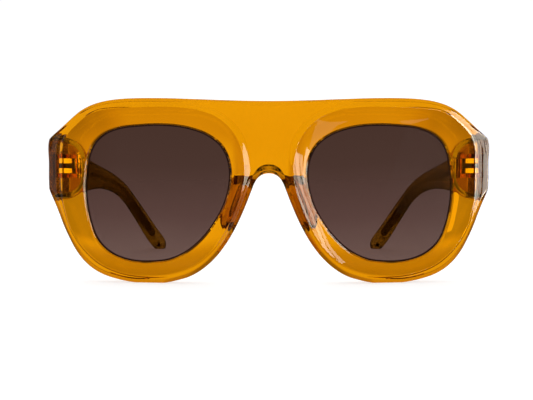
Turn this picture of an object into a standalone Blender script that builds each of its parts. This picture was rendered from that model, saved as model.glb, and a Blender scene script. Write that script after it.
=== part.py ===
"""Full-frame sunglasses in clear amber sheet plastic: front, two lenses, two nose pads, two
five-barrel hinges and two temples with core wires. Metres, +Z up, the front faces -Y.
Lengths below are in millimetres and are scaled by MM when a mesh is made."""

import math

import bmesh
import bpy
import numpy as np

for old in list(bpy.data.objects):
    bpy.data.objects.remove(old, do_unlink=True)

MM = 0.001

# ---------------------------------------------------------------- driving dimensions (mm)
BOX_SHIFT = 74.385          # depth of the middle of the whole object behind the bridge face
WRAP_R = 260.0            # face-form radius of the front
RING_T = -1.0             # crest of the raised rim, measured from the bridge face
LIP_T = 1.7               # where the dished rim meets the lens opening
EDGE_T = 1.5              # front edge of the side walls
WALL_T = 5.4              # back edge of the side walls
BACK_T = 6.2              # back face
BLOCK_T = 4.0             # raised hinge block on the back of each end
BLOCK = (63.6, 29.4, 46.6, 6.0, 2.0)   # its flat: inner edge, bottom, top, corner radius; run of its walls
BACK_BEVEL = 0.8
EDGE_BEVEL = 1.4
RIM_SLOPE = 0.45          # fall of the outer rim facet
FOOT_W = 2.2              # width of the outer rim facet where it meets the bridge
GROOVE = (2.3, 2.9, 3.9, 4.5)
GROOVE_DEPTH = 0.8
SADDLE_RISE = 2.4         # how much higher the back edge of the bridge saddle is
NOTCH_SPLAY = 0.7
LENS_T = (2.55, 4.25)     # front and back of the lens at its edge
LENS_DOME = 0.8
LENS_GAP = 0.3
LENS_BITE = 0.45
PAD_GAP = 0.3
PIVOT = (66.7, 21.0)      # hinge axis, across and behind the bridge face
KNUCKLE_R, BORE_R, SCREW_R = 1.75, 0.85, 0.65
KNUCKLE_H, KNUCKLE_PITCH, KNUCKLE_Z = 1.45, 1.65, 34.55
PRONG_X, PRONG_D = (67.2, 69.3), 14.6   # sunk prongs of the front leaf: across, and their depth
BUTT_GAP = 0.4            # between the hinge block and the end of a temple
TEMPLE_X = 71.2           # middle of the temple at the hinge
WIRE_GAP = 0.3

# Half outline of the front, from the top of the bridge round to the nose saddle (x, z)
OUTLINE = [
    (0, 59.5), (12, 59.7), (24, 60.2), (36, 60.65), (44, 60.7), (50, 60.45), (55, 59.75),
    (59, 58.6), (62, 57.15), (64, 55.8), (66, 54.15), (70, 50.7), (73.0, 48.2), (73.7, 47.5),
    (73.9, 46.7), (73.9, 39.5), (73.9, 32.0), (73.85, 30.8), (73.4, 29.6), (72.0, 26.6),
    (70.25, 22.5), (68.65, 18.5), (66.75, 14.55), (64.55, 10.6), (61.4, 6.7), (59.1, 4.75),
    (55.8, 2.85), (50.2, 1.05), (45, 0.1), (39.2, -0.3), (34, 0.05), (29.5, 1.05), (26, 2.15),
    (22, 4.4), (18, 7.85), (14, 12.8), (11, 17.8), (9, 21.9), (7, 26.65), (5.5, 30.5),
    (4.6, 32.7), (3.5, 34.35), (2.3, 35.25), (0, 35.8),
]                         # the bottom is cut level at z = 0, where the rim stands
# Crest of the raised rim round one lens
RING = [
    (38.7, 57.6), (45.3, 57.4), (51.9, 57.1), (56.5, 56.4), (60, 54.9), (63.5, 52.1),
    (66.6, 49.0), (68.1, 46.0), (68.5, 40), (68.5, 34.5), (68.2, 27.1), (67.1, 22.2),
    (65.4, 17.2), (62.7, 13), (59.3, 9.4), (55.2, 6.3), (48.6, 3.6), (39, 2.7), (29, 4.1),
    (22.7, 7.1), (18.1, 11.3), (14.1, 17.5), (10.6, 24.9), (8.4, 32.2), (7.95, 36), (8.25, 41),
    (9.7, 46.3), (12.4, 50.4), (16.4, 53.9), (22.6, 56.3), (30, 57.4),
]
# Lens opening
OPENING = [
    (36, 52.0), (42.4, 51.8), (49, 51.1), (54.6, 49.1), (58.0, 45.9), (59.6, 42.5), (60.6, 37),
    (61, 30.5), (60.5, 25), (59.2, 19.1), (57.0, 13.9), (52.5, 9.6), (46, 7.2), (39, 6.8),
    (32.6, 7.6), (26.4, 10.6), (21.7, 14.7), (17.0, 21.0), (14.3, 26.4), (12.9, 31.5),
    (12.5, 36), (13.5, 41.5), (15.4, 45.0), (20.0, 48.6), (26.3, 50.9),
]
# Places that belong together on outline, rim crest and opening, and the spans between them
ANCHORS = [
    ((0, 59.5), (12.9, 51.0), (16.1, 45.7), 11),
    ((36, 60.65), (35.5, 57.7), (36, 52.0), 12),
    ((73.7, 47.5), (67.7, 47.2), (58.7, 45), 4),
    ((73.85, 30.8), (68.4, 31.4), (61, 31), 14),
    ((39.2, 0), (39, 2.7), (39, 6.8), 15),
    ((4.6, 32.7), (8.35, 32.8), (12.7, 32.6), 4),
    ((0, 35.8), (7.95, 36.6), (12.55, 37), 7),
]
LENS_COUNT = 60
LENS_RINGS = (0.22, 0.5, 0.78)

# Temple stations: depth, middle height, height, thickness, corner radius
TEMPLE = [
    (20, 37.9, 18.4, 4.9, 1.3), (26, 37.5, 17.0, 4.8, 1.2), (34, 36.7, 15.0, 4.7, 1.1),
    (46, 35.7, 12.6, 4.6, 1.1), (61.5, 34.9, 10.0, 4.4, 1.1), (78, 33.8, 7.9, 4.3, 1.3),
    (90, 32.2, 6.9, 4.2, 1.5), (98, 30.4, 6.3, 4.2, 1.6), (105, 28.1, 6.0, 4.2, 1.7),
    (111, 25.3, 5.8, 4.2, 1.8), (118, 21.3, 5.9, 4.3, 1.8), (126, 16.2, 6.2, 4.6, 1.9),
    (133, 11.3, 6.7, 4.9, 2.1), (139, 7.1, 7.0, 5.1, 2.2), (143.5, 4.2, 7.0, 5.1, 2.2),
]
TEMPLE_END = 149.3        # depth of the rounded end
# Core wire stations: depth, middle height, height, thickness
WIRE = [
    (33.2, 37.95, 2.6, 1.4), (44.5, 36.6, 2.6, 1.4), (47.5, 36.3, 2.0, 1.4), (61.5, 35.0, 2.0, 1.4),
    (78, 33.7, 1.9, 1.4), (90, 32.1, 1.9, 1.4), (98, 30.3, 1.8, 1.4), (105, 28.0, 1.8, 1.35),
    (111, 25.2, 1.7, 1.3), (118, 21.2, 1.7, 1.3), (126, 16.2, 1.7, 1.3), (133, 11.5, 1.7, 1.3),
    (137.5, 8.3, 1.7, 1.3),
]
# Nose pad stations: height, nose side, lens side, depth
PAD = [
    (17.0, 12.4, 13.8, 0.7), (18.6, 11.4, 14.3, 2.6), (21, 10.2, 14.0, 4.9),
    (24, 8.9, 13.0, 6.2), (27.5, 7.5, 11.9, 6.7), (31, 6.3, 10.9, 6.2), (33.0, 5.75, 10.6, 4.5),
    (34.3, 5.5, 10.5, 2.6), (35.2, 5.4, 10.4, 0.8),
]


# ---------------------------------------------------------------- curves
def spline(points, closed=False, dense=24):
    """A smooth curve through the points: cubic pieces with chord-length tangents."""
    p = np.array(points, float)
    n = len(p)
    if closed:
        ext = np.vstack([p[-2:], p, p[:3]])
        first, last = 2, n + 2
    else:
        ext = np.vstack([2 * p[0] - p[1], p, 2 * p[-1] - p[-2]])
        first, last = 1, n
    step = np.linalg.norm(np.diff(ext, axis=0), axis=1)
    slope = np.diff(ext, axis=0) / step[:, None]
    tangent = np.zeros_like(ext)
    for i in range(1, len(ext) - 1):
        a, b = step[i - 1], step[i]
        tangent[i] = (slope[i - 1] * b + slope[i] * a) / (a + b)
    out = []
    for i in range(first, last):
        s = np.linspace(0, 1, dense, endpoint=False)[:, None]
        h = step[i]
        out.append(
            (2 * s**3 - 3 * s**2 + 1) * ext[i]
            + (s**3 - 2 * s**2 + s) * h * tangent[i]
            + (3 * s**2 - 2 * s**3) * ext[i + 1]
            + (s**3 - s**2) * h * tangent[i + 1]
        )
    if not closed:
        out = out[: n - 1] + [p[-1:]]
    return np.vstack(out)


def half_outline():
    """The outline with its ends level where the two halves meet."""
    p = [(-OUTLINE[1][0], OUTLINE[1][1])] + OUTLINE + [(-OUTLINE[-2][0], OUTLINE[-2][1])]
    dense = spline(p)
    start = int(np.argmin(np.linalg.norm(dense - OUTLINE[0], axis=1)))
    stop = len(dense) - 1 - int(np.argmin(np.linalg.norm(dense[::-1] - OUTLINE[-1], axis=1)))
    dense = dense[start : stop + 1].copy()
    dense[0], dense[-1] = OUTLINE[0], OUTLINE[-1]
    dense[:, 1] = np.maximum(dense[:, 1], 0.0)
    return dense


def pick(curve, start, stop, count, closed):
    """count points from the one nearest start up to the one nearest stop, evenly spaced."""
    a = int(np.argmin(np.linalg.norm(curve - start, axis=1)))
    b = int(np.argmin(np.linalg.norm(curve - stop, axis=1)))
    if closed and b <= a:
        piece = np.vstack([curve[a:], curve[: b + 1]])
    else:
        piece = curve[a : b + 1]
    run = np.concatenate([[0], np.cumsum(np.linalg.norm(np.diff(piece, axis=0), axis=1))])
    at = np.linspace(0, run[-1], count + 1)[:-1]
    return np.column_stack([np.interp(at, run, piece[:, i]) for i in range(2)])


def outward(loop):
    """Unit normals of a closed loop that runs clockwise in (x, z)."""
    ahead = np.roll(loop, -1, axis=0) - np.roll(loop, 1, axis=0)
    normal = np.column_stack([-ahead[:, 1], ahead[:, 0]])
    return normal / np.linalg.norm(normal, axis=1)[:, None]


def wrap(points):
    """(x, t, z) of the flat front to (x, depth, z) of the wrapped one."""
    p = np.array(points, float)
    p[:, 1] += p[:, 0] ** 2 / (2 * WRAP_R)
    return p


# ---------------------------------------------------------------- meshes
def finish(name, points, faces, material, origin=(0, 0, 0)):
    """An object from millimetre points in (x, depth, z), its origin at the given place."""
    p = np.array(points, float)
    p[:, 1] -= BOX_SHIFT
    o = np.array([origin[0], origin[1] - BOX_SHIFT if any(origin) else 0, origin[2]], float)
    mesh = bpy.data.meshes.new(name)
    mesh.from_pydata([tuple(v) for v in (p - o) * MM], [], [tuple(f) for f in faces])
    work = bmesh.new()
    work.from_mesh(mesh)
    bmesh.ops.remove_doubles(work, verts=work.verts, dist=1e-7)
    bmesh.ops.recalc_face_normals(work, faces=work.faces)
    if work.calc_volume(signed=True) < 0:
        bmesh.ops.reverse_faces(work, faces=work.faces)
    work.to_mesh(mesh)
    work.free()
    obj = bpy.data.objects.new(name, mesh)
    obj.location = tuple(o * MM)
    bpy.context.scene.collection.objects.link(obj)
    mesh.materials.append(material)
    return obj


def helper(points, faces):
    """A cutter or an addition, which the Booleans use up."""
    return finish("helper", points, faces, PLAIN)


def box(x0, x1, y0, y1, z0, z1):
    points = [(x, y, z) for x in (x0, x1) for y in (y0, y1) for z in (z0, z1)]
    faces = [(0, 1, 3, 2), (4, 6, 7, 5), (0, 4, 5, 1), (2, 3, 7, 6), (0, 2, 6, 4), (1, 5, 7, 3)]
    return points, faces


def rod(x, y, radius, z0, z1, count=20):
    ring = [
        (x + radius * math.cos(2 * math.pi * i / count), y + radius * math.sin(2 * math.pi * i / count))
        for i in range(count)
    ]
    points = [(a, b, z) for z in (z0, z1) for a, b in ring]
    faces = [(i, (i + 1) % count, count + (i + 1) % count, count + i) for i in range(count)]
    faces += [tuple(range(count))[::-1], tuple(range(count, 2 * count))]
    return points, faces


def baked(obj, adds=(), cuts=()):
    """Runs exact Booleans on obj with the helpers, keeps the result and drops the helpers."""
    for kind, helpers in (("UNION", adds), ("DIFFERENCE", cuts)):
        for other in helpers:
            other.hide_render = True
            other.display_type = "WIRE"
            step = obj.modifiers.new("step", "BOOLEAN")
            step.operation, step.object, step.solver = kind, other, "EXACT"
    bpy.context.view_layer.update()
    graph = bpy.context.evaluated_depsgraph_get()
    mesh = bpy.data.meshes.new_from_object(obj.evaluated_get(graph))
    obj.modifiers.clear()
    obj.data = mesh
    for other in list(adds) + list(cuts):
        bpy.data.objects.remove(other, do_unlink=True)
    mesh.name = obj.name
    return obj


def mirrored(obj, name):
    """The same piece on the other side."""
    mesh = obj.data.copy()
    mesh.name = name
    work = bmesh.new()
    work.from_mesh(mesh)
    for v in work.verts:
        v.co.x = -v.co.x
    bmesh.ops.reverse_faces(work, faces=work.faces)
    work.to_mesh(mesh)
    work.free()
    twin = bpy.data.objects.new(name, mesh)
    twin.location = (-obj.location.x, obj.location.y, obj.location.z)
    bpy.context.scene.collection.objects.link(twin)
    return twin


def material(name, colour, roughness, metallic=0.0, transmission=0.0, ior=1.49):
    made = bpy.data.materials.new(name)
    made.use_nodes = True
    shader = made.node_tree.nodes["Principled BSDF"]
    shader.inputs["Base Color"].default_value = (*colour, 1)
    shader.inputs["Roughness"].default_value = roughness
    shader.inputs["Metallic"].default_value = metallic
    shader.inputs["Transmission Weight"].default_value = transmission
    shader.inputs["IOR"].default_value = ior
    made.diffuse_color = (*colour, 1)
    return made


PLAIN = material("plain", (0.5, 0.5, 0.5), 0.5)
AMBER = material("amber_plastic", (0.80, 0.36, 0.02), 0.06, transmission=0.6)
AMBER_PAD = material("amber_pad", (0.78, 0.35, 0.02), 0.08, transmission=0.6)
AMBER_TEMPLE = material("amber_temple", (0.78, 0.34, 0.02), 0.06, transmission=0.6)
TINT = material("lens_tint", (0.09, 0.045, 0.03), 0.03, transmission=0.5)
BRASS = material("hinge_brass", (0.83, 0.60, 0.20), 0.22, metallic=1.0)
BRASS_LEAF = material("hinge_leaf_brass", (0.80, 0.57, 0.19), 0.25, metallic=1.0)
STEEL = material("screw_steel", (0.72, 0.66, 0.52), 0.25, metallic=1.0)
WIRE_STEEL = material("wire_steel", (0.62, 0.56, 0.48), 0.3, metallic=1.0)


# ---------------------------------------------------------------- front
def front_loops():
    outline, ring, opening = half_outline(), spline(RING, True), spline(OPENING, True)
    outer, crest, hole = [], [], []
    for i, (o, r, h, count) in enumerate(ANCHORS):
        o2, r2, h2, _ = ANCHORS[(i + 1) % len(ANCHORS)]
        if i < len(ANCHORS) - 1:
            outer.append(pick(outline, np.array(o), np.array(o2), count, False))
        crest.append(pick(ring, np.array(r), np.array(r2), count, True))
        hole.append(pick(opening, np.array(h), np.array(h2), count, True))
    outer.append(np.array([ANCHORS[-1][0]], float))
    return np.vstack(outer), np.vstack(crest), np.vstack(hole)


def with_t(xz, t):
    t = np.broadcast_to(t, (len(xz),))
    return np.column_stack([xz[:, 0], t, xz[:, 1]])


def make_front():
    outer, crest, hole = front_loops()
    n, edge = len(crest), len(outer)          # the outline has `edge` points, the rest is the middle plane
    middle = np.linspace(0, 1, n - edge + 2)[1:-1]
    bottom, top = ANCHORS[-1][0][1], ANCHORS[0][0][1]
    # the loop just inside the outline, closed along the middle plane
    seam = np.column_stack([np.zeros(len(middle)), bottom + EDGE_BEVEL + middle * (top - bottom - 2 * EDGE_BEVEL)])
    inside = np.vstack([outer, seam])
    for k in range(edge):
        if k in (0, edge - 1):
            inside[k] = (0, outer[k][1] + (EDGE_BEVEL if k else -EDGE_BEVEL))
            continue
        way = crest[k] - outer[k]
        reach = np.linalg.norm(way)
        inside[k] = outer[k] + way / reach * min(EDGE_BEVEL, 0.45 * reach)
    gap = np.linalg.norm(inside - crest, axis=1)
    foot_w = np.minimum(FOOT_W, 0.6 * gap)
    foot = crest + (inside - crest) * (foot_w / gap)[:, None]
    across = (foot + inside) / 2

    def fall(loop):
        """Depth of the outer rim facet, which levels out on the bridge."""
        away = np.linalg.norm(loop - crest, axis=1)
        cap = np.clip((loop[:, 0] - 18) / 30, 0, 1) * 1.2
        return np.minimum(RING_T + RIM_SLOPE * away, cap)

    # the same outline at the back, opened out round the nose
    back = outer.copy()
    low = np.arange(edge) >= sum(a[3] for a in ANCHORS[:4])
    saddle = np.exp(-((outer[:, 0] / 4.0) ** 2)) * low
    nasal = low * np.clip((outer[:, 1] - 8) / 10, 0, 1) * np.clip((20 - outer[:, 0]) / 6, 0, 1)
    back[:, 1] += SADDLE_RISE * saddle
    back[:, 0] += NOTCH_SPLAY * nasal * (1 - saddle)
    back[-1, 0] = 0
    rise = SADDLE_RISE
    seam_b = np.column_stack(
        [np.zeros(len(middle)), bottom + rise + BACK_BEVEL + middle * (top - bottom - rise - 2 * BACK_BEVEL)]
    )
    inside_b = np.vstack([back, seam_b])
    normal = outward(hole)
    hole_b = hole + 0.6 * normal
    for k in range(edge):
        if k in (0, edge - 1):
            inside_b[k] = (0, back[k][1] + (BACK_BEVEL if k else -BACK_BEVEL))
            continue
        way = hole_b[k] - back[k]
        inside_b[k] = back[k] + way / np.linalg.norm(way) * BACK_BEVEL
    half_b = (inside_b + hole_b) / 2

    g = GROOVE
    closed_loops = [
        with_t(inside, fall(inside)), with_t(across, fall(across)), with_t(foot, fall(foot)),
        with_t(crest, RING_T), with_t((crest + hole) / 2, 0.42 * LIP_T + 0.58 * RING_T),
        with_t(hole, LIP_T), with_t(hole, g[0]), with_t(hole + GROOVE_DEPTH * normal, g[1]),
        with_t(hole + GROOVE_DEPTH * normal, g[2]), with_t(hole, g[3]), with_t(hole, BACK_T - 0.6),
        with_t(hole_b, BACK_T), with_t(half_b, BACK_T), with_t(inside_b, BACK_T),
    ]
    open_loops = [with_t(back, WALL_T), with_t(outer, EDGE_T)]
    points, faces = np.vstack(closed_loops + open_loops), []
    for j in range(len(closed_loops) - 1):
        for k in range(n):
            a, b = j * n + k, j * n + (k + 1) % n
            faces.append((a, b, b + n, a + n))
    last, wall = (len(closed_loops) - 1) * n, len(closed_loops) * n
    for k in range(edge - 1):
        rows = (last + k, wall + k, wall + edge + k, k)
        for a, b in zip(rows, rows[1:]):
            faces.append((a, a + 1, b + 1, b))
    points = wrap(points)
    other = points * (-1, 1, 1)
    count = len(points)
    faces += [tuple(count + i for i in f[::-1]) for f in faces]
    return finish("front_frame", np.vstack([points, other]), faces, AMBER)


def block_mesh(side):
    """The hinge block: level at the back, sloping down to the rim inside, above and below."""
    inner, low, high, radius, run = BLOCK
    half = (high - low) / 2

    def half_loop(grow):
        out = [(73.4, half - 0.8 + 0.1 * grow), (72.8 - 0.3 * grow, half + grow)]
        for i in range(7):
            a = math.radians(90 + 15 * i)
            out.append((inner + radius + (radius + grow) * math.cos(a), half - radius + (radius + grow) * math.sin(a)))
        return out

    points = []
    for grow, t in ((run, BACK_T - 0.6), (0.0, BACK_T + BLOCK_T)):
        for sign in (1, -1):
            points += [(x, t, (low + high) / 2 + sign * h) for x, h in half_loop(grow)]
    n = len(half_loop(0))
    faces = []
    for start in (0, 2 * n):                      # base and level back
        faces += [(start + i, start + i + 1, start + n + i + 1, start + n + i) for i in range(n - 1)]
    for start in (0, n):                          # walls above and below
        faces += [(start + i, start + i + 1, start + 2 * n + i + 1, start + 2 * n + i) for i in range(n - 1)]
    for i in (0, n - 1):                          # outer and inner walls
        faces.append((i, n + i, 3 * n + i, 2 * n + i))
    return wrap(points) * (side, 1, 1), faces


front = make_front()
zc = KNUCKLE_Z + 2 * KNUCKLE_PITCH + KNUCKLE_H / 2          # middle height of the hinge
z_lo, z_hi = KNUCKLE_Z, KNUCKLE_Z + 4 * KNUCKLE_PITCH + KNUCKLE_H
px, py = PIVOT
pockets = [box(*sides, PRONG_D - 0.3, 22, z_lo - 0.3, z_hi + 0.3) for sides in (
    (px - 1.1, PRONG_X[1] + 0.3), (-PRONG_X[1] - 0.3, -px + 1.1))]
baked(front, [helper(*block_mesh(side)) for side in (1, -1)], [helper(*p) for p in pockets])


# ---------------------------------------------------------------- lenses
def make_lens():
    opening = spline(OPENING, True)
    loop = pick(opening, opening[0], opening[-1], LENS_COUNT - 1, False)
    loop = np.vstack([loop, opening[-1]])
    normal = outward(loop)
    centre = loop.mean(axis=0)
    body = loop - LENS_GAP * normal
    loops, t0, t1 = [], LENS_T[0], LENS_T[1]
    middle = (t0 + t1) / 2
    for share in LENS_RINGS:
        loops.append(with_t(centre + share * (body - centre), t0 - LENS_DOME * (1 - share**2)))
    loops.append(with_t(body, t0))
    loops.append(with_t(loop + LENS_BITE * normal, middle - 0.2))
    loops.append(with_t(loop + LENS_BITE * normal, middle + 0.2))
    loops.append(with_t(body, t1))
    for share in LENS_RINGS[::-1]:
        loops.append(with_t(centre + share * (body - centre), t1 - LENS_DOME * (1 - share**2)))
    n = len(loop)
    points = np.vstack(loops + [[(centre[0], t0 - LENS_DOME, centre[1])], [(centre[0], t1 - LENS_DOME, centre[1])]])
    faces = []
    for j in range(len(loops) - 1):
        for k in range(n):
            a, b = j * n + k, j * n + (k + 1) % n
            faces.append((a, b, b + n, a + n))
    end, back = len(loops) * n, (len(loops) - 1) * n
    for k in range(n):
        faces.append((end, (k + 1) % n, k))
        faces.append((end + 1, back + k, back + (k + 1) % n))
    return finish("lens_right", wrap(points), faces, TINT)


lens = make_lens()
mirrored(lens, "lens_left")


# ---------------------------------------------------------------- nose pads
def make_pad():
    turns = np.linspace(0, math.pi, 11)
    loops = []
    for z, nose, side, deep in PAD:
        for_z = []
        for a in turns:
            c, s = math.cos(a), max(math.sin(a), 0.0)
            x = (nose + side) / 2 - (side - nose) / 2 * math.copysign(abs(c) ** 0.55, c) + 0.12 * deep * s**0.8
            base = (nose + side) / 2 - (side - nose) / 2 * math.copysign(abs(c) ** 0.55, c)
            y = BACK_T + PAD_GAP + base**2 / (2 * WRAP_R) + deep * s**0.75
            for_z.append((x, y, z))
        loops.append(for_z)
    n = len(turns)
    points = [p for loop in loops for p in loop]
    faces = []
    for j in range(len(loops) - 1):
        for k in range(n):
            a, b = j * n + k, j * n + (k + 1) % n
            faces.append((a, b, b + n, a + n))
    faces.append(tuple(range(n))[::-1])
    faces.append(tuple(range((len(loops) - 1) * n, len(loops) * n)))
    return finish("nose_pad_right", points, faces, AMBER_PAD)


pad = make_pad()
mirrored(pad, "nose_pad_left")


# ---------------------------------------------------------------- temples and core wires
def temple_x(d):
    return TEMPLE_X - 0.055 * (d - 16) - 0.00160 * max(0.0, d - 60) ** 2


def temple_yaw(d):
    return -0.055 - 0.00320 * max(0.0, d - 60)


def section(width, height, radius, steps=3):
    """A rounded rectangle, as (across, up)."""
    radius = min(radius, 0.499 * width, 0.499 * height)
    out = []
    for cx, cz, start in ((1, 1, 0), (-1, 1, 1), (-1, -1, 2), (1, -1, 3)):
        for i in range(steps + 1):
            a = (start + i / steps) * math.pi / 2
            out.append(
                (
                    cx * (width / 2 - radius) + radius * math.cos(a),
                    cz * (height / 2 - radius) + radius * math.sin(a),
                )
            )
    return out


def swept(stations):
    """Loops of points round a path; each station is (depth, x, z, yaw, pitch, section)."""
    loops = []
    for d, x, z, yaw, pitch, shape in stations:
        side = np.array([1.0, -yaw, 0.0]) / math.hypot(1, yaw)
        ahead = np.array([yaw, 1.0, pitch])
        up = np.cross(side, ahead)
        up = up / np.linalg.norm(up)
        loops.append([np.array([x, d, z]) + u * side + v * up for u, v in shape])
    n = len(loops[0])
    points = np.array([p for loop in loops for p in loop])
    faces = []
    for j in range(len(loops) - 1):
        for k in range(n):
            a, b = j * n + k, j * n + (k + 1) % n
            faces.append((a, b, b + n, a + n))
    faces.append(tuple(range(n))[::-1])
    faces.append(tuple(range((len(loops) - 1) * n, len(loops) * n)))
    return points, faces, n


def pitches(depths, heights):
    return np.gradient(np.array(heights, float), np.array(depths, float))


def temple_mesh():
    rows = [list(r) for r in TEMPLE]
    pitch = list(pitches([r[0] for r in rows], [r[1] for r in rows]))
    pitch[0] = 0.0
    # the rounded end, shrinking along the same slope
    d0, z0, h0, w0, r0 = rows[-1]
    for turn in (0.45, 0.72, 0.9, 0.985):
        d = d0 + (TEMPLE_END - d0) * turn
        s = math.sqrt(1 - turn**2)
        rows.append([d, z0 + pitch[-1] * (d - d0), h0 * s, w0 * (0.35 + 0.65 * s), r0])
        pitch.append(pitch[-1])
    stations = [
        (d, temple_x(d), z, temple_yaw(d), p, section(w, h, r)) for (d, z, h, w, r), p in zip(rows, pitch)
    ]
    points, faces, n = swept(stations)
    # the butt end follows the back of the hinge block
    butt = points[:n]
    butt[:, 1] = BACK_T + BLOCK_T + BUTT_GAP + butt[:, 0] ** 2 / (2 * WRAP_R)
    points[:, 2] = np.maximum(points[:, 2], 0.0)
    return points, faces


def wire_mesh(grow):
    rows = [list(r) for r in WIRE]
    pitch = list(pitches([r[0] for r in rows], [r[1] for r in rows]))
    if grow:                                  # the channel starts in the hinge slot and ends past the wire
        first, last = rows[0][:], rows[-1][:]
        first[0], first[1] = first[0] - 2.0, first[1] - 2.0 * pitch[0]
        last[0], last[1] = last[0] + 0.4, last[1] + 0.4 * pitch[-1]
        rows, pitch = [first] + rows[1:-1] + [last], pitch
    stations = [
        (d, temple_x(d), z, temple_yaw(d), p, section(w + 2 * grow, h + 2 * grow, 0.55 + grow, 2))
        for (d, z, h, w), p in zip(rows, pitch)
    ]
    points, faces, _ = swept(stations)
    return points, faces


PLATE = (69.85, 71.05, 32.6)                  # sunk plate of the temple leaf: inner, outer, far end
pivot = (px, py, zc)
temple = finish("temple_right", *temple_mesh(), AMBER_TEMPLE, pivot)
cuts = [
    helper(*box(65, PLATE[1] + 0.35, 16, 24.4, z_lo - 0.35, z_hi + 0.35)),
    helper(*box(PLATE[0] - 0.35, PLATE[1] + 0.35, 16.5, PLATE[2] + 0.3, z_lo - 0.35 + 0.02, z_hi + 0.35 - 0.02)),
    helper(*wire_mesh(WIRE_GAP)),
]
baked(temple, cuts=cuts)
wire = finish("core_wire_right", *wire_mesh(0.0), WIRE_STEEL, pivot)
mirrored(temple, "temple_left")
mirrored(wire, "core_wire_left")


# ---------------------------------------------------------------- hinges
def knuckle(i):
    z = KNUCKLE_Z + i * KNUCKLE_PITCH
    return z, z + KNUCKLE_H


def bore():
    return helper(*rod(px, py, BORE_R, z_lo - 1, z_hi + 1, 16))


leaf = finish("hinge_front_leaf_right", *box(px - 0.75, PRONG_X[1], 17.9, 19.1, z_lo, z_hi), BRASS)
adds = []
for i in (1, 3):
    lo, hi = knuckle(i)
    adds.append(helper(*box(px - 0.72, px + 0.72, 18.5, py, lo, hi)))
    adds.append(helper(*rod(px, py, KNUCKLE_R, lo, hi)))
    adds.append(helper(*box(*PRONG_X, PRONG_D, 18.5, lo - 0.1, hi + 0.1)))
    for y in (15.1, 16.2, 17.2):              # barbs that grip the plastic
        adds.append(helper(*box(PRONG_X[0] - 0.6, PRONG_X[0] + 0.4, y, y + 0.55, lo - 0.05, hi + 0.05)))
baked(leaf, adds, [bore()])
mirrored(leaf, "hinge_front_leaf_left")

plate = finish("hinge_temple_leaf_right", *box(PLATE[0], PLATE[1], 20.9, PLATE[2], z_lo, z_hi), BRASS_LEAF, pivot)
adds = []
for i in (0, 2, 4):
    lo, hi = knuckle(i)
    adds.append(helper(*box(px, PLATE[0] + 0.6, py + 0.05, py + 1.65, lo, hi)))
    adds.append(helper(*rod(px, py, KNUCKLE_R, lo, hi)))
baked(plate, adds, [bore()])
mirrored(plate, "hinge_temple_leaf_left")

screw = finish("hinge_screw_right", *rod(px, py, SCREW_R, z_lo - 0.1, z_hi + 0.5, 16), STEEL)
baked(
    screw,
    [helper(*rod(px, py, 1.25, z_hi + 0.2, z_hi + 0.8, 20))],
    [helper(*box(px - 2, px + 2, py - 0.18, py + 0.18, z_hi + 0.55, z_hi + 2))],
)
mirrored(screw, "hinge_screw_left")
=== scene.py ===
import math

import bmesh
import bpy
import numpy as np
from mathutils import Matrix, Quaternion, Vector


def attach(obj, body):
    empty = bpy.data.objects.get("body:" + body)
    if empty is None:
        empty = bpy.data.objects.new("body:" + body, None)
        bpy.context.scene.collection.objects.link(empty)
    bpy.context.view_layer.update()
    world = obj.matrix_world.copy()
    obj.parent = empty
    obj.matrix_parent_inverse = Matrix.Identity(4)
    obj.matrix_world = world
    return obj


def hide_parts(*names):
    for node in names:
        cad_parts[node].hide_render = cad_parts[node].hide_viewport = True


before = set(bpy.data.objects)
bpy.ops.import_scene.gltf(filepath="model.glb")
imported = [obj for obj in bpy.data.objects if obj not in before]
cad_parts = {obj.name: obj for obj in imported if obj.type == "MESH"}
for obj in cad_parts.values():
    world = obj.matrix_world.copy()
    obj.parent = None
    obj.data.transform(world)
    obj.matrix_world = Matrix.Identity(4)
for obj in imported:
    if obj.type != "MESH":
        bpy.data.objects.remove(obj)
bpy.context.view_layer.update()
scene = bpy.context.scene

MM = 0.001

# ------------------------------------------------------------------ dimensions, as in the CAD (mm)
BOX_SHIFT = 74.385
WRAP_R = 260.0
RING_T, LIP_T, EDGE_T, WALL_T, BACK_T = -1.0, 1.7, 1.5, 5.4, 6.2
BLOCK_T, BLOCK = 4.0, (63.6, 29.4, 46.6, 6.0, 2.0)
BACK_BEVEL, EDGE_BEVEL, RIM_SLOPE, FOOT_W, FOOT_NOSE = 0.8, 1.4, 0.45, 2.2, 0.55
DISH, DISH_HOLLOW, CHAMFER = (0.1, 0.2, 0.3, 0.4, 0.5, 0.6, 0.7, 0.8, 0.9, 0.97), 0.30, (0.7, 36, 50)
GROOVE, GROOVE_DEPTH = (2.3, 2.9, 3.9, 4.5), 0.8
SADDLE_RISE, NOTCH_SPLAY = 2.4, 0.7
LENS_T, LENS_DOME = (2.55, 4.25), 0.8
PIVOT = (66.7, 21.0)
KNUCKLE_R, BORE_R, SCREW_R = 1.75, 0.85, 0.65
KNUCKLE_H, KNUCKLE_PITCH, KNUCKLE_Z = 1.45, 1.65, 34.55
PRONG_X, PRONG_D = (67.2, 69.3), 14.6
BUTT_GAP, TEMPLE_X, TEMPLE_END = 0.4, 71.2, 149.3
PLATE = (69.85, 71.05, 32.6)

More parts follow.
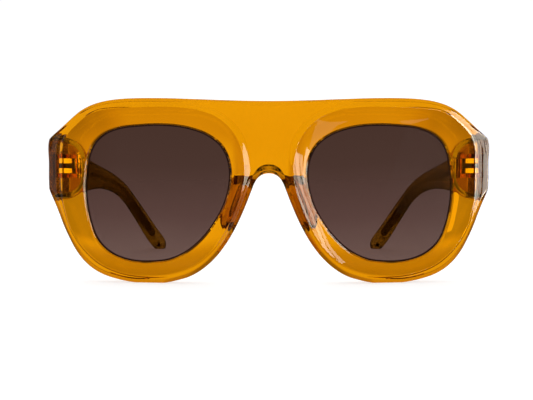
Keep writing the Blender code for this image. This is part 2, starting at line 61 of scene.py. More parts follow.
OUTLINE = [
    (0, 59.5), (12, 59.7), (24, 60.2), (36, 60.65), (44, 60.7), (50, 60.45), (55, 59.75),
    (59, 58.6), (62, 57.15), (64, 55.8), (66, 54.15), (70, 50.7), (73.0, 48.2), (73.7, 47.5),
    (73.9, 46.7), (73.9, 39.5), (73.9, 32.0), (73.85, 30.8), (73.4, 29.6), (72.0, 26.6),
    (70.25, 22.5), (68.65, 18.5), (66.75, 14.55), (64.55, 10.6), (61.4, 6.7), (59.1, 4.75),
    (55.8, 2.85), (50.2, 1.05), (45, 0.1), (39.2, -0.3), (34, 0.05), (29.5, 1.05), (26, 2.15),
    (22, 4.4), (18, 7.85), (14, 12.8), (11, 17.8), (9, 21.9), (7, 26.65), (5.5, 30.5),
    (4.6, 32.7), (3.5, 34.35), (2.3, 35.25), (0, 35.8),
]
RING = [
    (38.7, 57.6), (45.3, 57.4), (51.9, 57.1), (56.5, 56.4), (60, 54.9), (63.5, 52.1),
    (66.6, 49.0), (68.1, 46.0), (68.5, 40), (68.5, 34.5), (68.2, 27.1), (67.1, 22.2),
    (65.4, 17.2), (62.7, 13), (59.3, 9.4), (55.2, 6.3), (48.6, 3.6), (39, 2.7), (29, 4.1),
    (22.7, 7.1), (18.1, 11.3), (14.1, 17.5), (10.6, 24.9), (8.4, 32.2), (7.95, 36), (8.25, 41),
    (9.7, 46.3), (12.4, 50.4), (16.4, 53.9), (22.6, 56.3), (30, 57.4),
]
OPENING = [
    (36, 52.0), (42.4, 51.8), (49, 51.1), (54.6, 49.1), (58.0, 45.9), (59.6, 42.5), (60.6, 37),
    (61, 30.5), (60.5, 25), (59.2, 19.1), (57.0, 13.9), (52.5, 9.6), (46, 7.2), (39, 6.8),
    (32.6, 7.6), (26.4, 10.6), (21.7, 14.7), (17.0, 21.0), (14.3, 26.4), (12.9, 31.5),
    (12.5, 36), (13.5, 41.5), (15.4, 45.0), (20.0, 48.6), (26.3, 50.9),
]
FINE = 6
ANCHORS = [
    ((0, 59.5), (12.9, 51.0), (16.1, 45.7), 11 * FINE),
    ((36, 60.65), (35.5, 57.7), (36, 52.0), 12 * FINE),
    ((73.7, 47.5), (67.7, 47.2), (58.7, 45), 4 * FINE),
    ((73.85, 30.8), (68.4, 31.4), (61, 31), 14 * FINE),
    ((39.2, 0), (39, 2.7), (39, 6.8), 15 * FINE),
    ((4.6, 32.7), (8.35, 32.8), (12.7, 32.6), 4 * FINE),
    ((0, 35.8), (7.95, 36.6), (12.55, 37), 7 * FINE),
]
TEMPLE = [
    (20, 37.9, 18.4, 4.9, 1.3), (26, 37.5, 17.0, 4.8, 1.2), (34, 36.7, 15.0, 4.7, 1.1),
    (46, 35.7, 12.6, 4.6, 1.1), (61.5, 34.9, 10.0, 4.4, 1.1), (78, 33.8, 7.9, 4.3, 1.3),
    (90, 32.2, 6.9, 4.2, 1.5), (98, 30.4, 6.3, 4.2, 1.6), (105, 28.1, 6.0, 4.2, 1.7),
    (111, 25.3, 5.8, 4.2, 1.8), (118, 21.3, 5.9, 4.3, 1.8), (126, 16.2, 6.2, 4.6, 1.9),
    (133, 11.3, 6.7, 4.9, 2.1), (139, 7.1, 7.0, 5.1, 2.2), (143.5, 4.2, 7.0, 5.1, 2.2),
]
WIRE = [
    (33.2, 37.95, 2.6, 1.4), (44.5, 36.6, 2.6, 1.4), (47.5, 36.3, 2.0, 1.4), (61.5, 35.0, 2.0, 1.4),
    (78, 33.7, 1.9, 1.4), (90, 32.1, 1.9, 1.4), (98, 30.3, 1.8, 1.4), (105, 28.0, 1.8, 1.35),
    (111, 25.2, 1.7, 1.3), (118, 21.2, 1.7, 1.3), (126, 16.2, 1.7, 1.3), (133, 11.5, 1.7, 1.3),
    (137.5, 8.3, 1.7, 1.3),
]
PAD = [
    (17.0, 12.4, 13.8, 0.7), (18.6, 11.4, 14.3, 2.6), (21, 10.2, 14.0, 4.9),
    (24, 8.9, 13.0, 6.2), (27.5, 7.5, 11.9, 6.7), (31, 6.3, 10.9, 6.2), (33.0, 5.75, 10.6, 4.5),
    (34.3, 5.5, 10.5, 2.6), (35.2, 5.4, 10.4, 0.8),
]


# ------------------------------------------------------------------ curves
def spline(points, closed=False, dense=24):
    """A smooth curve through points of any dimension: cubic pieces with chord-length tangents."""
    p = np.array(points, float)
    n = len(p)
    if closed:
        ext = np.vstack([p[-2:], p, p[:3]])
        first, last = 2, n + 2
    else:
        ext = np.vstack([2 * p[0] - p[1], p, 2 * p[-1] - p[-2]])
        first, last = 1, n
    step = np.linalg.norm(np.diff(ext[:, :2], axis=0), axis=1)
    slope = np.diff(ext, axis=0) / step[:, None]
    tangent = np.zeros_like(ext)
    for i in range(1, len(ext) - 1):
        a, b = step[i - 1], step[i]
        tangent[i] = (slope[i - 1] * b + slope[i] * a) / (a + b)
    out = []
    for i in range(first, last):
        s = np.linspace(0, 1, dense, endpoint=False)[:, None]
        h = step[i]
        out.append(
            (2 * s**3 - 3 * s**2 + 1) * ext[i]
            + (s**3 - 2 * s**2 + s) * h * tangent[i]
            + (3 * s**2 - 2 * s**3) * ext[i + 1]
            + (s**3 - s**2) * h * tangent[i + 1]
        )
    if not closed:
        out = out[: n - 1] + [p[-1:]]
    return np.vstack(out)


def half_outline():
    p = [(-OUTLINE[1][0], OUTLINE[1][1])] + OUTLINE + [(-OUTLINE[-2][0], OUTLINE[-2][1])]
    dense = spline(p, dense=60)
    start = int(np.argmin(np.linalg.norm(dense - OUTLINE[0], axis=1)))
    stop = len(dense) - 1 - int(np.argmin(np.linalg.norm(dense[::-1] - OUTLINE[-1], axis=1)))
    dense = dense[start : stop + 1].copy()
    dense[0], dense[-1] = OUTLINE[0], OUTLINE[-1]
    dense[:, 1] = np.maximum(dense[:, 1], 0.0)
    return dense


def pick(curve, start, stop, count, closed):
    a = int(np.argmin(np.linalg.norm(curve - start, axis=1)))
    b = int(np.argmin(np.linalg.norm(curve - stop, axis=1)))
    if closed and b <= a:
        piece = np.vstack([curve[a:], curve[: b + 1]])
    else:
        piece = curve[a : b + 1]
    run = np.concatenate([[0], np.cumsum(np.linalg.norm(np.diff(piece, axis=0), axis=1))])
    at = np.linspace(0, run[-1], count + 1)[:-1]
    return np.column_stack([np.interp(at, run, piece[:, i]) for i in range(2)])


def outward(loop):
    ahead = np.roll(loop, -1, axis=0) - np.roll(loop, 1, axis=0)
    normal = np.column_stack([-ahead[:, 1], ahead[:, 0]])
    return normal / np.linalg.norm(normal, axis=1)[:, None]


def inward(line):
    """Unit vectors square to an open outline that runs clockwise, pointing into its shape."""
    ahead = np.gradient(line, axis=0)
    normal = np.column_stack([ahead[:, 1], -ahead[:, 0]])
    return normal / np.linalg.norm(normal, axis=1)[:, None]


def eased(loop, rounds=6):
    """A closed loop with small unevenness of its point spacing taken out."""
    for _ in range(rounds):
        loop = 0.25 * np.roll(loop, 1, axis=0) + 0.5 * loop + 0.25 * np.roll(loop, -1, axis=0)
    return loop


def wrap(points):
    p = np.array(points, float)
    p[:, 1] += p[:, 0] ** 2 / (2 * WRAP_R)
    return p


def with_t(xz, t):
    t = np.broadcast_to(t, (len(xz),))
    return np.column_stack([xz[:, 0], t, xz[:, 1]])


# ------------------------------------------------------------------ meshes
def made(name, points, faces, mat, smooth_angle=40):
    p = np.array(points, float)
    p[:, 1] -= BOX_SHIFT
    mesh = bpy.data.meshes.new(name)
    mesh.from_pydata([tuple(v) for v in p * MM], [], [tuple(f) for f in faces])
    work = bmesh.new()
    work.from_mesh(mesh)
    bmesh.ops.remove_doubles(work, verts=work.verts, dist=1e-7)
    bmesh.ops.recalc_face_normals(work, faces=work.faces)
    if work.calc_volume(signed=True) < 0:
        bmesh.ops.reverse_faces(work, faces=work.faces)
    for e in work.edges:
        e.smooth = len(e.link_faces) != 2 or e.calc_face_angle(0) < math.radians(smooth_angle)
    for f in work.faces:
        f.smooth = True
    work.to_mesh(mesh)
    work.free()
    obj = bpy.data.objects.new(name, mesh)
    scene.collection.objects.link(obj)
    mesh.materials.append(mat)
    return obj


def twin(obj, name):
    """The same piece mirrored to the other side."""
    mesh = obj.data.copy()
    mesh.name = name
    work = bmesh.new()
    work.from_mesh(mesh)
    for v in work.verts:
        v.co.x = -v.co.x
    bmesh.ops.reverse_faces(work, faces=work.faces)
    work.to_mesh(mesh)
    work.free()
    other = bpy.data.objects.new(name, mesh)
    scene.collection.objects.link(other)
    return other


def strip_faces(loops, n):
    faces = []
    for j in range(loops - 1):
        for k in range(n):
            a, b = j * n + k, j * n + (k + 1) % n
            faces.append((a, b, b + n, a + n))
    return faces


def rounded(prev, here, after, reach, steps=4):
    """Loops that round the edge `here` between its neighbours, reaching this far along both."""
    def toward(other):
        gap = np.linalg.norm(other - here, axis=1)[:, None]
        return here + (other - here) * np.minimum(reach / np.maximum(gap, 1e-9), 0.45)
    a, b = toward(prev), toward(after)
    return [(1 - s) ** 2 * a + 2 * s * (1 - s) * here + s * s * b for s in np.linspace(0, 1, steps)]


# ------------------------------------------------------------------ node helpers
def new_material(name):
    m = bpy.data.materials.new(name)
    m.use_nodes = True
    return m, m.node_tree, m.node_tree.nodes["Principled BSDF"]


def add(tree, kind, **values):
    node = tree.nodes.new(kind)
    for key, value in values.items():
        if key in node.inputs:
            node.inputs[key].default_value = value
        else:
            setattr(node, key, value)
    return node


def noise(tree, scale, detail=3.0, rough=0.5, stretch=None):
    where = add(tree, "ShaderNodeTexCoord")
    out = where.outputs["Object"]
    if stretch:
        shape = add(tree, "ShaderNodeMapping")
        shape.inputs["Scale"].default_value = stretch
        tree.links.new(out, shape.inputs["Vector"])
        out = shape.outputs["Vector"]
    tex = add(tree, "ShaderNodeTexNoise")
    tex.inputs["Scale"].default_value = scale
    tex.inputs["Detail"].default_value = detail
    tex.inputs["Roughness"].default_value = rough
    tree.links.new(out, tex.inputs["Vector"])
    return tex.outputs["Fac"]


def ranged(tree, fac, low, high, start=0.3, stop=0.7):
    node = add(tree, "ShaderNodeMapRange")
    node.inputs["From Min"].default_value, node.inputs["From Max"].default_value = start, stop
    node.inputs["To Min"].default_value, node.inputs["To Max"].default_value = low, high
    tree.links.new(fac, node.inputs["Value"])
    return node.outputs["Result"]


def ramp(tree, fac, stops):
    node = add(tree, "ShaderNodeValToRGB")
    e = node.color_ramp.elements
    while len(e) < len(stops):
        e.new(0.5)
    for i, (at, colour) in enumerate(stops):
        e[i].position, e[i].color = at, (*colour, 1)
    tree.links.new(fac, node.inputs["Fac"])
    return node.outputs["Color"]


def bump(tree, shader, fac, strength, distance):
    node = add(tree, "ShaderNodeBump")
    node.inputs["Strength"].default_value = strength
    node.inputs["Distance"].default_value = distance
    tree.links.new(fac, node.inputs["Height"])
    tree.links.new(node.outputs["Normal"], shader.inputs["Normal"])


# ------------------------------------------------------------------ materials
def acetate(name, deep, light, depth, rough=(0.0, 0.03), clear=1.0, soak=(0.9, 0.85, 0.0)):
    """Polished clear plastic in two close tones, a little deeper where it is thick."""
    m, tree, shader = new_material(name)
    shader.inputs["Transmission Weight"].default_value = clear
    shader.inputs["IOR"].default_value = 1.49
    shader.inputs["Specular Tint"].default_value = (1.0, 0.96, 0.8, 1)
    tree.links.new(ramp(tree, noise(tree, 60, 2), [(0.3, deep), (0.7, light)]), shader.inputs["Base Color"])
    tree.links.new(ranged(tree, noise(tree, 900, 4, 0.6), *rough), shader.inputs["Roughness"])
    bump(tree, shader, noise(tree, 150, 1), 0.03, 0.0002)
    inner = add(tree, "ShaderNodeVolumeAbsorption")
    inner.inputs["Color"].default_value = (*soak, 1)
    inner.inputs["Density"].default_value = depth
    tree.links.new(inner.outputs["Volume"], tree.nodes["Material Output"].inputs["Volume"])
    return m


def tinted_lens():
    """A gradient brown tint, darker at the top, with a fine polish."""
    m, tree, shader = new_material("lens_gradient")
    shader.inputs["Transmission Weight"].default_value = 1.0
    shader.inputs["IOR"].default_value = 1.3
    shader.inputs["Specular Tint"].default_value = (0.01, 0.01, 0.01, 1)
    where = add(tree, "ShaderNodeTexCoord")
    split = add(tree, "ShaderNodeSeparateXYZ")
    tree.links.new(where.outputs["Object"], split.inputs["Vector"])
    up = ranged(tree, split.outputs["Z"], 0.0, 1.0, 0.005, 0.053)
    mix = add(tree, "ShaderNodeMath")
    mix.operation = "ADD"
    tree.links.new(up, mix.inputs[0])
    tree.links.new(ranged(tree, noise(tree, 40, 1), -0.02, 0.02), mix.inputs[1])
    tone = ramp(tree, mix.outputs["Value"], LENS_TINT)
    tree.links.new(tone, shader.inputs["Base Color"])
    tree.links.new(ranged(tree, noise(tree, 700, 3), 0.0, 0.02), shader.inputs["Roughness"])
    return m


def lens_rim():
    """The lens's bevelled edge painted near-black, for the dark line round a lens where it sits in the groove:
    partly the dark look of a tinted edge, partly painted shade of the groove.
    """
    m, tree, shader = new_material("lens_edge_tint_and_shade")
    shader.inputs["Transmission Weight"].default_value = 1.0
    shader.inputs["IOR"].default_value = 1.3
    shader.inputs["Specular Tint"].default_value = (0.01, 0.01, 0.01, 1)
    tone = ramp(tree, noise(tree, 300, 2), [(0.3, (0.012, 0.005, 0.004)), (0.7, (0.022, 0.010, 0.008))])
    tree.links.new(tone, shader.inputs["Base Color"])
    tree.links.new(ranged(tree, noise(tree, 700, 3), 0.05, 0.15), shader.inputs["Roughness"])
    return m


def metal(name, colour, dark, rough, grain):
    """Plated or drawn metal with fine marks along its length."""
    m, tree, shader = new_material(name)
    shader.inputs["Metallic"].default_value = 1.0
    marks = noise(tree, 300, 4, 0.6, grain)
    tree.links.new(ramp(tree, marks, [(0.3, dark), (0.65, colour)]), shader.inputs["Base Color"])
    tree.links.new(ranged(tree, marks, *rough), shader.inputs["Roughness"])
    bump(tree, shader, marks, 0.08, 0.00005)
    return m


def wire_painted_light_and_shade():
    """Metal painted bright towards the front of the wire and dark towards its tail: painted light and painted shade.
    """
    m, tree, shader = new_material("wire_painted_light_and_shade")
    shader.inputs["Metallic"].default_value = 1.0
    where = add(tree, "ShaderNodeTexCoord")
    split = add(tree, "ShaderNodeSeparateXYZ")
    tree.links.new(where.outputs["Object"], split.inputs["Vector"])
    marks = noise(tree, 300, 4, 0.6, (8, 0.6, 8))
    mix = add(tree, "ShaderNodeMath")
    mix.operation = "ADD"
    # painted light towards the front of the wire, painted shade towards its tail
    tree.links.new(ranged(tree, split.outputs["Y"], 0.0, 1.0, 0.012, 0.046), mix.inputs[0])
    tree.links.new(ranged(tree, marks, -0.12, 0.12), mix.inputs[1])
    tone = ramp(tree, mix.outputs["Value"], [(0.0, (0.93, 0.94, 0.82)), (0.5, (0.55, 0.48, 0.40)), (1.0, (0.24, 0.20, 0.16))])
    tree.links.new(tone, shader.inputs["Base Color"])
    tree.links.new(ranged(tree, marks, 0.18, 0.34), shader.inputs["Roughness"])
    bump(tree, shader, marks, 0.08, 0.00005)
    return m


LENS_TINT = [
    (0.0, (0.135, 0.083, 0.071)), (0.35, (0.086, 0.046, 0.039)),
    (0.7, (0.060, 0.031, 0.024)), (1.0, (0.055, 0.028, 0.021)),
]
AMBER = acetate("amber_acetate", (0.85, 0.322, 0.004), (0.89, 0.345, 0.008), 300, soak=(0.9, 0.9, 0.0))
AMBER_ARM = acetate("amber_acetate_temple", (0.70, 0.43, 0.06), (0.76, 0.47, 0.08), 60, soak=(0.9, 0.9, 0.0))
AMBER_PAD = acetate("amber_acetate_pad", (0.97, 0.81, 0.15), (0.99, 0.85, 0.19), 1200, (0.01, 0.05))
LENS = tinted_lens()
LENS_RIM = lens_rim()
GOLD = metal("gold_plate", (1.0, 0.91, 0.36), (0.94, 0.80, 0.28), (0.03, 0.07), (1, 1, 8))
# a dark, rough gold; on the web between the prongs its darkness is painted shade
GOLD_DARK_ROUGH = metal("gold_plate_dark_rough", (0.16, 0.13, 0.05), (0.10, 0.08, 0.03), (0.35, 0.5), (1, 1, 8))
GOLD_LEAF = metal("gold_plate_leaf", (0.74, 0.66, 0.28), (0.64, 0.54, 0.19), (0.12, 0.25), (1, 6, 1))
SCREW = metal("bright_screw", (0.85, 0.80, 0.70), (0.60, 0.55, 0.46), (0.15, 0.3), (4, 4, 1))
WIRE_METAL = wire_painted_light_and_shade()


# ------------------------------------------------------------------ front
def front_loops():
    outline = half_outline()
    ring, opening = spline(RING, True, 60), spline(OPENING, True, 60)
    outer, crest, hole = [], [], []
    for i, (o, r, h, count) in enumerate(ANCHORS):
        o2, r2, h2, _ = ANCHORS[(i + 1) % len(ANCHORS)]
        if i < len(ANCHORS) - 1:
            outer.append(pick(outline, np.array(o), np.array(o2), count, False))
        crest.append(pick(ring, np.array(r), np.array(r2), count, True))
        hole.append(pick(opening, np.array(h), np.array(h2), count, True))
    outer.append(np.array([ANCHORS[-1][0]], float))
    return np.vstack(outer), eased(np.vstack(crest)), eased(np.vstack(hole))


def make_front():
    outer, crest, hole = front_loops()
    n, edge = len(crest), len(outer)
    middle = np.linspace(0, 1, n - edge + 2)[1:-1]
    bottom, top = ANCHORS[-1][0][1], ANCHORS[0][0][1]
    seam = np.column_stack([np.zeros(len(middle)), bottom + EDGE_BEVEL + middle * (top - bottom - 2 * EDGE_BEVEL)])
    inside = np.vstack([outer, seam])
    square = inward(outer)
    for k in range(edge):
        if k in (0, edge - 1):
            inside[k] = (0, outer[k][1] + (EDGE_BEVEL if k else -EDGE_BEVEL))
            continue
        way = crest[k] - outer[k]
        reach = np.linalg.norm(way)
        turn = np.clip((outer[k][0] - 4) / 8, 0, 1)
        way = square[k] * (1 - turn) + way / reach * turn
        inside[k] = outer[k] + way / np.linalg.norm(way) * min(EDGE_BEVEL, 0.45 * reach)
    gap = np.linalg.norm(inside - crest, axis=1)
    by_nose = np.clip((22 - crest[:, 0]) / 10, 0, 1) * np.clip((crest[:, 1] - 24) / 8, 0, 1)
    foot_w = np.minimum(FOOT_W + FOOT_NOSE * by_nose * np.clip((52 - crest[:, 1]) / 14, 0, 1), 0.6 * gap)
    foot = crest + (inside - crest) * (foot_w / gap)[:, None]

    def fall(loop):
        away = np.linalg.norm(loop - crest, axis=1)
        cap = np.clip((loop[:, 0] - 18) / 30, 0, 1) * 1.2
        slope = RIM_SLOPE + (0.37 - RIM_SLOPE) * by_nose
        return np.minimum(RING_T + slope * away, cap)

    back = outer.copy()
    low = np.arange(edge) >= sum(a[3] for a in ANCHORS[:4])
    saddle = np.exp(-((outer[:, 0] / 4.6) ** 6)) * low
    nasal = low * np.clip((outer[:, 1] - 8) / 10, 0, 1) * np.clip((20 - outer[:, 0]) / 6, 0, 1)
    back[:, 1] += SADDLE_RISE * saddle
    back[:, 0] += NOTCH_SPLAY * nasal * (1 - saddle)
    back[-1, 0] = 0
    rise = SADDLE_RISE
    seam_b = np.column_stack(
        [np.zeros(len(middle)), bottom + rise + BACK_BEVEL + middle * (top - bottom - rise - 2 * BACK_BEVEL)]
    )
    inside_b = np.vstack([back, seam_b])
    square_b = inward(back)
    normal = outward(hole)
    hole_b = hole + 0.6 * normal
    for k in range(edge):
        if k in (0, edge - 1):
            inside_b[k] = (0, back[k][1] + (BACK_BEVEL if k else -BACK_BEVEL))
            continue
        way = hole_b[k] - back[k]
        turn = np.clip((outer[k][0] - 4) / 8, 0, 1)
        way = square_b[k] * (1 - turn) + way / np.linalg.norm(way) * turn
        inside_b[k] = back[k] + way / np.linalg.norm(way) * BACK_BEVEL

    def raised(loop):
        """Height of the hinge block on the back: level, with walls that slope down to the rim."""
        inner, low, high, radius, run = BLOCK
        reach_x = np.maximum(inner + radius - loop[:, 0], 0.0)
        reach_z = np.maximum(np.abs(loop[:, 2] - (low + high) / 2) - (high - low) / 2 + radius, 0.0)
        away = np.clip((np.hypot(reach_x, reach_z) - radius) / run, 0.0, 1.0)
        return BLOCK_T * (1 - away * away * (3 - 2 * away))

    g = GROOVE
    I, F, C = with_t(inside, fall(inside)), with_t(foot, fall(foot)), with_t(crest, RING_T)
    H0, H1 = with_t(hole, LIP_T), with_t(hole, g[0])
    G0, G1 = with_t(hole + GROOVE_DEPTH * normal, g[1]), with_t(hole + GROOVE_DEPTH * normal, g[2])
    H2, H3, HB, IB = with_t(hole, g[3]), with_t(hole, BACK_T - 0.6), with_t(hole_b, BACK_T), with_t(inside_b, BACK_T)
    O, W = with_t(outer, EDGE_T), with_t(back, WALL_T)

    def between(a, b, shares):
        return [a + (b - a) * s for s in shares]

    # the front bevel line and the back one are rounded only along the outline
    def rim_turn(here, inner, outer_loop, reach):
        a = rounded(inner, here, inner, reach, 2)[0]
        m = here.copy()
        out = rounded(a[:edge], here[:edge], outer_loop, reach, 5)
        a[:edge] = out[0]
        m[:edge] = out[2]
        m[0, 0] = m[edge - 1, 0] = 0
        quarter = a.copy()
        quarter[:edge] = out[1]
        quarter[edge:] = (a[edge:] + here[edge:]) / 2
        return a, quarter, m, out[3], out[4]

    a1, q1, m1, p1, b1 = rim_turn(I, F, O, 0.5)
    a2, q2, m2, p2, b2 = rim_turn(IB, HB, W, 0.35)
    closed = [m1, q1, a1]
    flat = between(a1, F, (0.25, 0.5, 0.75))
    closed += flat
    # the outer slope of the ring is hollow too, steepest at the crest
    slope = []
    for share in (0.2, 0.35, 0.5, 0.65, 0.8, 0.92):
        loop = F + (C - F) * share
        loop[:, 1] += 0.55 * (F[:, 1] - C[:, 1]) * share * (1 - share)
        slope.append(loop)
    closed += rounded(flat[-1], F, slope[0], 0.45, 5)
    closed += slope
    # the dish from the crest down to the lens: steeper at the crest, flatter by the lens
    def dished(share):
        share = np.broadcast_to(share, (n,))
        loop = C + (H0 - C) * share[:, None]
        loop[:, 1] += DISH_HOLLOW * (H0[:, 1] - C[:, 1]) * share * (1 - share)
        return loop
    across = np.linalg.norm(hole - crest, axis=1)
    lip = dished(1 - CHAMFER[0] / across)
    closed += rounded(slope[-1], C, dished(0.1), 0.22, 4)
    closed += [dished((1 - CHAMFER[0] / across) * share) for share in DISH] + [lip]
    # a narrow turned-in edge from the dish down to the lens
    turn = np.radians(np.linspace(CHAMFER[1], CHAMFER[2], 8)[:, None] - 4 * np.clip((32 - crest[:, 0]) / 12, 0, 1))
    run, drop = np.cumsum(np.cos(turn), axis=0), np.cumsum(np.sin(turn), axis=0)
    for share, deep in zip(run / run[-1], drop / run[-1] * CHAMFER[0]):
        loop = lip + (H0 - lip) * share[:, None]
        loop[:, 1] = np.minimum(lip[:, 1] + deep, GROOVE[0] - 0.03)
        closed.append(loop)
    closed += [H1, G0, G1, H2]
    first_back = len(closed)
    closed += rounded(H2, H3, HB, 0.2, 3)
    turned = rounded(H3, HB, IB, 0.3, 4)
    closed += turned + between(turned[-1], a2, np.linspace(0, 1, 30)[1:-1])
    closed += [a2, q2, m2]
    for loop in closed[first_back:] + [p2, b2, W]:
        loop[:, 1] += raised(loop)
    opened = [p2, b2] + rounded(IB[:edge], W, O, 0.35, 4) + rounded(W, O, I[:edge], 0.55, 5) + [b1, p1]
    for loop in opened:
        loop[0, 0] = loop[-1, 0] = 0
    points = np.vstack(closed + opened)
    faces = strip_faces(len(closed), n)
    rows = [(len(closed) - 1) * n] + [len(closed) * n + j * edge for j in range(len(opened))] + [0]
    for a, b in zip(rows, rows[1:]):
        for k in range(edge - 1):
            faces.append((a + k, a + k + 1, b + k + 1, b + k))
    points[:, 2] = np.maximum(points[:, 2], 0.0)
    points = wrap(points)
    count = len(points)
    faces += [tuple(count + i for i in f[::-1]) for f in faces]
    return made("front_acetate", np.vstack([points, points * (-1, 1, 1)]), faces, AMBER, 70)


front = make_front()
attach(front, "front")
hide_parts("front_frame")


# ------------------------------------------------------------------ lenses
def make_lens():
    loop = pick(spline(OPENING, True, 60), np.array(OPENING[0]), np.array(OPENING[0]), 240, True)
    loop = eased(loop)
    normal = outward(loop)
    centre = loop.mean(axis=0)
    body = loop - 0.05 * normal
    t0, t1 = LENS_T
    mid = (t0 + t1) / 2
    rings = [0.06, 0.14, 0.24, 0.36, 0.48, 0.6, 0.72, 0.82, 0.91, 0.983]
    loops = [with_t(centre + s * (body - centre), t0 - LENS_DOME * (1 - s * s)) for s in rings]
    edge0, edge1 = with_t(loop + 0.62 * normal, mid - 0.3), with_t(loop + 0.62 * normal, mid + 0.3)
    f, b = with_t(body, t0), with_t(body, t1)
    loops += rounded(loops[-1], f, edge0, 0.12, 3) + [edge0, edge1]
    last = [with_t(centre + s * (body - centre), t1 - LENS_DOME * (1 - s * s)) for s in rings[::-1]]
    loops += rounded(edge1, b, last[0], 0.12, 3) + last
    n = len(loop)
    points = np.vstack(loops + [[(centre[0], t0 - LENS_DOME, centre[1])], [(centre[0], t1 - LENS_DOME, centre[1])]])
    faces = strip_faces(len(loops), n)
    end, back = len(loops) * n, (len(loops) - 1) * n
    for k in range(n):
        faces.append((end, (k + 1) % n, k))
        faces.append((end + 1, back + k, back + (k + 1) % n))
    obj = made("lens_plate_right", wrap(points), faces, LENS, 30)
    obj.data.materials.append(LENS_RIM)
    # the edge loops take the near-black edge material, painted shade of the groove
    first, last = (len(rings) - 1) * n, (len(loops) - len(rings)) * n
    for face in obj.data.polygons[first:last]:
        face.material_index = 1
    return obj


lens_r = make_lens()
lens_l = twin(lens_r, "lens_plate_left")
for obj, side in ((lens_r, "right"), (lens_l, "left")):
    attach(obj, "front")
    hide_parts("lens_" + side)


# ------------------------------------------------------------------ nose pads
def make_pad():
    rows = spline([(z, 0.0, nose, side, deep) for z, nose, side, deep in PAD], dense=10)
    turns = np.linspace(0, math.pi, 41)
    loops = []
    top, low = rows[-1][0], rows[0][0]
    for z, _, nose, side, deep in rows:
        loop = []
        for a in turns:
            c, s = math.cos(a), max(math.sin(a), 0.0)
            base = (nose + side) / 2 - (side - nose) / 2 * math.copysign(abs(c) ** 0.5, c)
            x = base + 0.12 * deep * (1 - (1 - s) ** 3)
            y = BACK_T + 0.04 + base**2 / (2 * WRAP_R) + deep * (1 - (1 - s) ** 3)
            loop.append((x, y, z))
        loops.append(np.array(loop))

    def capped(loop, dz):
        """A slightly smaller loop past the end, so that the end face has a rounded edge."""
        middle = loop.mean(axis=0)
        small = middle + (loop - middle) * 0.93
        small[:, 1] = np.maximum(small[:, 1], BACK_T + 0.04 + small[:, 0] ** 2 / (2 * WRAP_R))
        small[:, 2] = loop[:, 2] + dz
        return small
    loops = [capped(loops[0], -0.15)] + loops + [capped(loops[-1], 0.22)]
    n = len(turns)
    points = np.vstack(loops)
    faces = strip_faces(len(loops), n)
    faces.append(tuple(range(n))[::-1])
    faces.append(tuple(range((len(loops) - 1) * n, len(loops) * n)))
    return made("nose_pad_acetate_right", points, faces, AMBER_PAD, 50)


pad_r = make_pad()
pad_l = twin(pad_r, "nose_pad_acetate_left")
for obj, side in ((pad_r, "right"), (pad_l, "left")):
    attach(obj, "front")
    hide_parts("nose_pad_" + side)


# ------------------------------------------------------------------ temples and core wires
def temple_x(d):
    return TEMPLE_X - 0.055 * (d - 16) - 0.00160 * max(0.0, d - 60) ** 2


def temple_yaw(d):
    return -0.055 - 0.00320 * max(0.0, d - 60)


def section(width, height, radius, steps=8):
    radius = min(radius, 0.499 * width, 0.499 * height)
    out = []
    for cx, cz, start in ((1, 1, 0), (-1, 1, 1), (-1, -1, 2), (1, -1, 3)):
        for i in range(steps + 1):
            a = (start + i / steps) * math.pi / 2
            out.append((cx * (width / 2 - radius) + radius * math.cos(a), cz * (height / 2 - radius) + radius * math.sin(a)))
    # points along the long sides, so that the faces stay near square
    full = []
    for i in range(len(out)):
        a, b = np.array(out[i]), np.array(out[(i + 1) % len(out)])
        full.append(a)
        if i in (steps, 3 * steps + 2):
            full += [a + (b - a) * s for s in (0.33, 0.67)]
        if i in (2 * steps + 1, 4 * steps + 3):
            full += [a + (b - a) * s for s in (0.2, 0.4, 0.6, 0.8)]
    return full


def swept(stations):
    loops = []
    for d, x, z, yaw, pitch, shape in stations:
        side = np.array([1.0, -yaw, 0.0]) / math.hypot(1, yaw)
        ahead = np.array([yaw, 1.0, pitch])
        up = np.cross(side, ahead)
        up = up / np.linalg.norm(up)
        loops.append(np.array([np.array([x, d, z]) + u * side + v * up for u, v in shape]))
    return loops


def capped_faces(loops):
    n = len(loops[0])
    faces = strip_faces(len(loops), n)
    faces.append(tuple(range(n))[::-1])
    faces.append(tuple(range((len(loops) - 1) * n, len(loops) * n)))
    return np.vstack(loops), faces


def make_temple():
    rows = spline(TEMPLE, dense=10)
    pitch = np.gradient(rows[:, 1], rows[:, 0])
    pitch[:4] *= np.linspace(0, 1, 4)
    stations = [(d, temple_x(d), z, temple_yaw(d), p, section(w, h, r)) for (d, z, h, w, r), p in zip(rows, pitch)]
    d0, z0, h0, w0, r0 = rows[-1]
    for turn in np.sin(np.linspace(0, 1, 14)[1:] * math.radians(86)):
        d = d0 + (TEMPLE_END - d0) * turn
        s = (1 - turn**2.4) ** (1 / 2.4)
        stations.append((d, temple_x(d), z0 + pitch[-1] * (d - d0), temple_yaw(d), pitch[-1], section(w0 * (0.5 + 0.5 * s), h0 * s, r0 * s)))
    loops = swept(stations)
    butt = loops[0]
    butt[:, 1] = BACK_T + BLOCK_T + BUTT_GAP + butt[:, 0] ** 2 / (2 * WRAP_R)
    middle = butt.mean(axis=0)
    ease = []
    for shrink, deep in ((0.40, 0.0), (0.12, 0.12), (0.0, 0.4)):
        loop = butt.copy()
        way = loop - middle
        way[:, 1] = 0
        size = np.linalg.norm(way, axis=1)[:, None]
        loop -= way / size * shrink
        loop[:, 1] = BACK_T + BLOCK_T + BUTT_GAP + loop[:, 0] ** 2 / (2 * WRAP_R) + deep
        ease.append(loop)
    loops = ease + loops[1:]
    for loop in loops:
        loop[:, 2] = np.maximum(loop[:, 2], 0.0)
    return made("temple_acetate_right", *capped_faces(loops), AMBER_ARM, 50)


